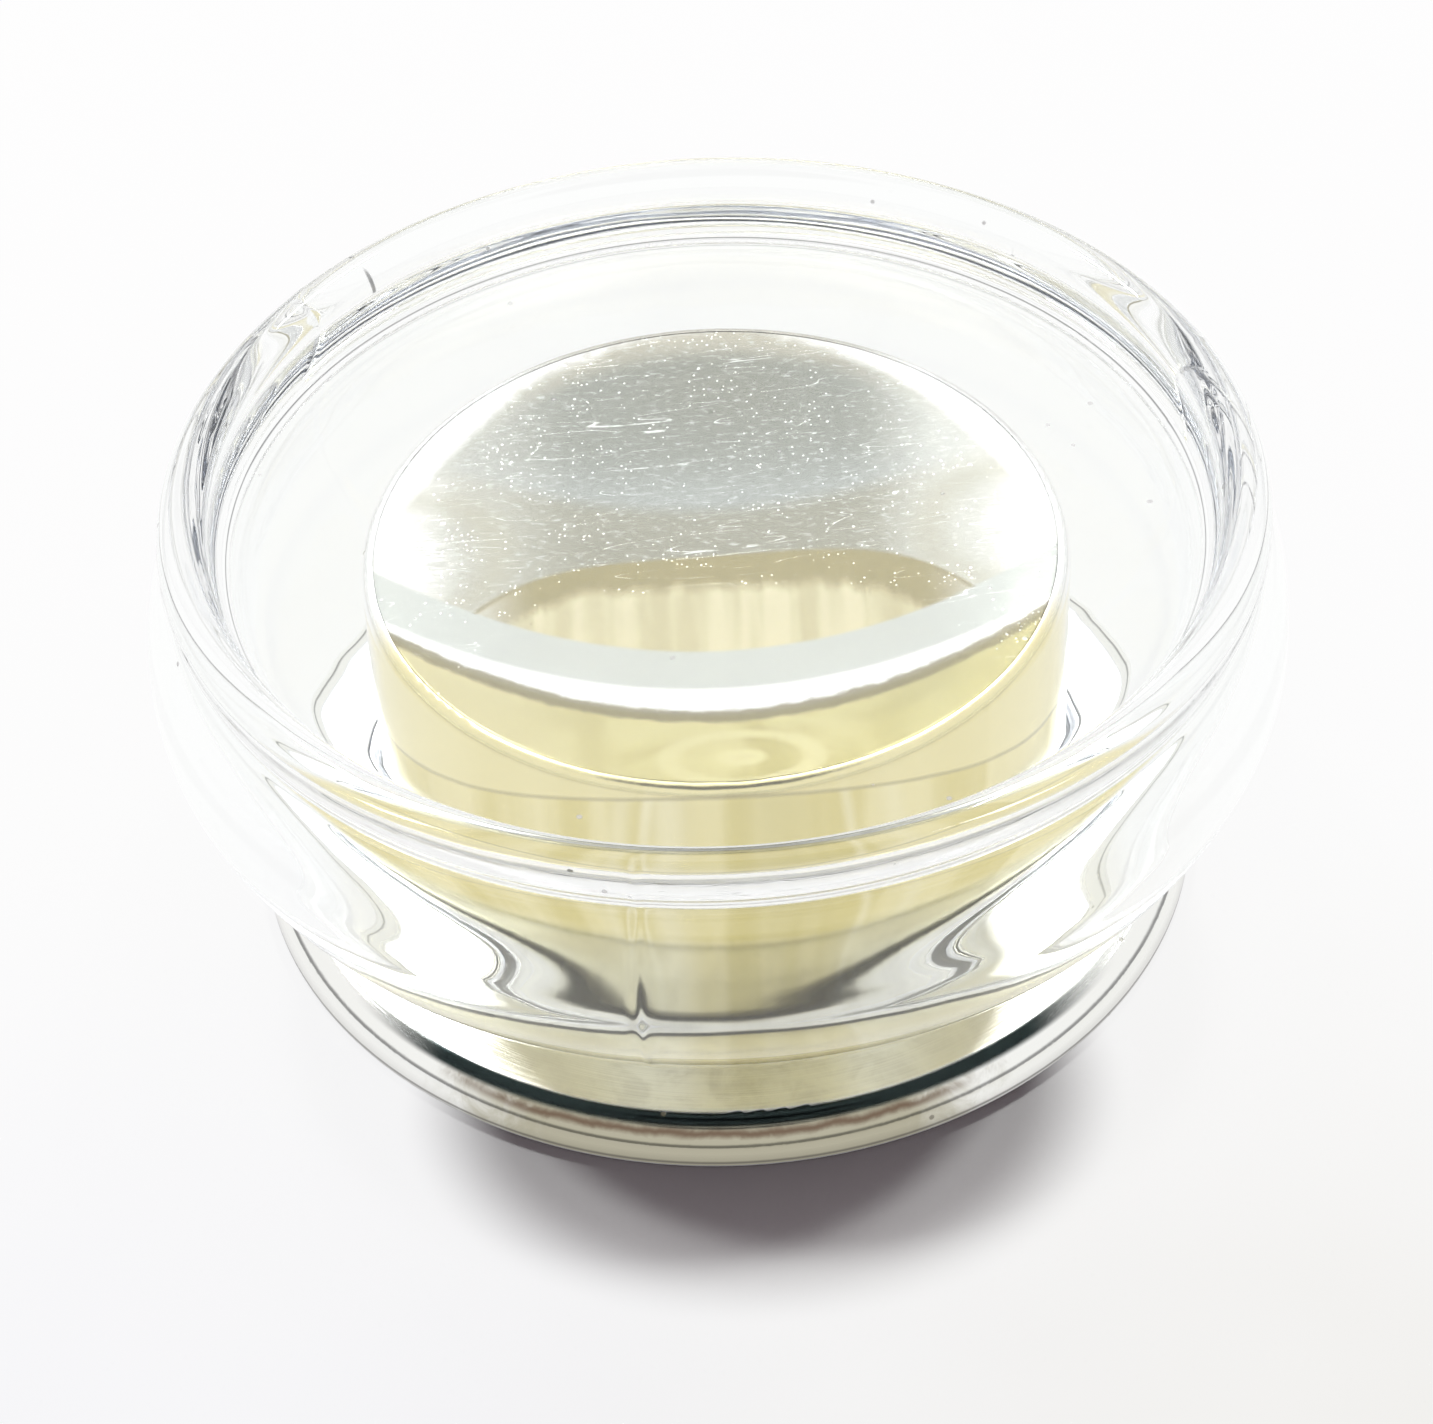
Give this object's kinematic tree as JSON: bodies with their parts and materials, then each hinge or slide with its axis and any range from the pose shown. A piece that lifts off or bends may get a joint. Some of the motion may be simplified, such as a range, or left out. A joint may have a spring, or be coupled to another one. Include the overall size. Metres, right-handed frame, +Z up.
{
  "type": "dappen dish",
  "caption": "Round clear glass dish with a rounded lip and a shallow well, hollow underneath, standing over the raised core of a shallow metal lid; the dish lifts off.",
  "frame": {"origin": "centre of the stand's underside, on the table", "axes": "+Z up along the common axis of dish and stand; the part is round, so X and Y are interchangeable"},
  "size_m": [0.056, 0.056, 0.023],
  "materials": {
    "plated_steel": "polished nickel plate on the rounded edge, fine circular brushing on the flat top",
    "liner_foam": "closed-cell foam disc, matte",
    "gold_lacquer": "pale gold lacquer, satin, slightly wavy",
    "brushed_steel": "brushed, scratched and dusty",
    "clear_glass": "clear pressed glass, fire polished"
  },
  "bodies": {
    "stand": {"stand_shell": "plated_steel", "lid_liner": "liner_foam", "core_sleeve": "gold_lacquer", "core_cap": "brushed_steel"},
    "dish": {"glass_dish": "clear_glass"}
  },
  "joints": [
    {"name": "dish_lift", "type": "slide", "parent": "stand", "child": "dish", "axis": [0, 0, 1], "range_m": [0, 0.03]}
  ]
}
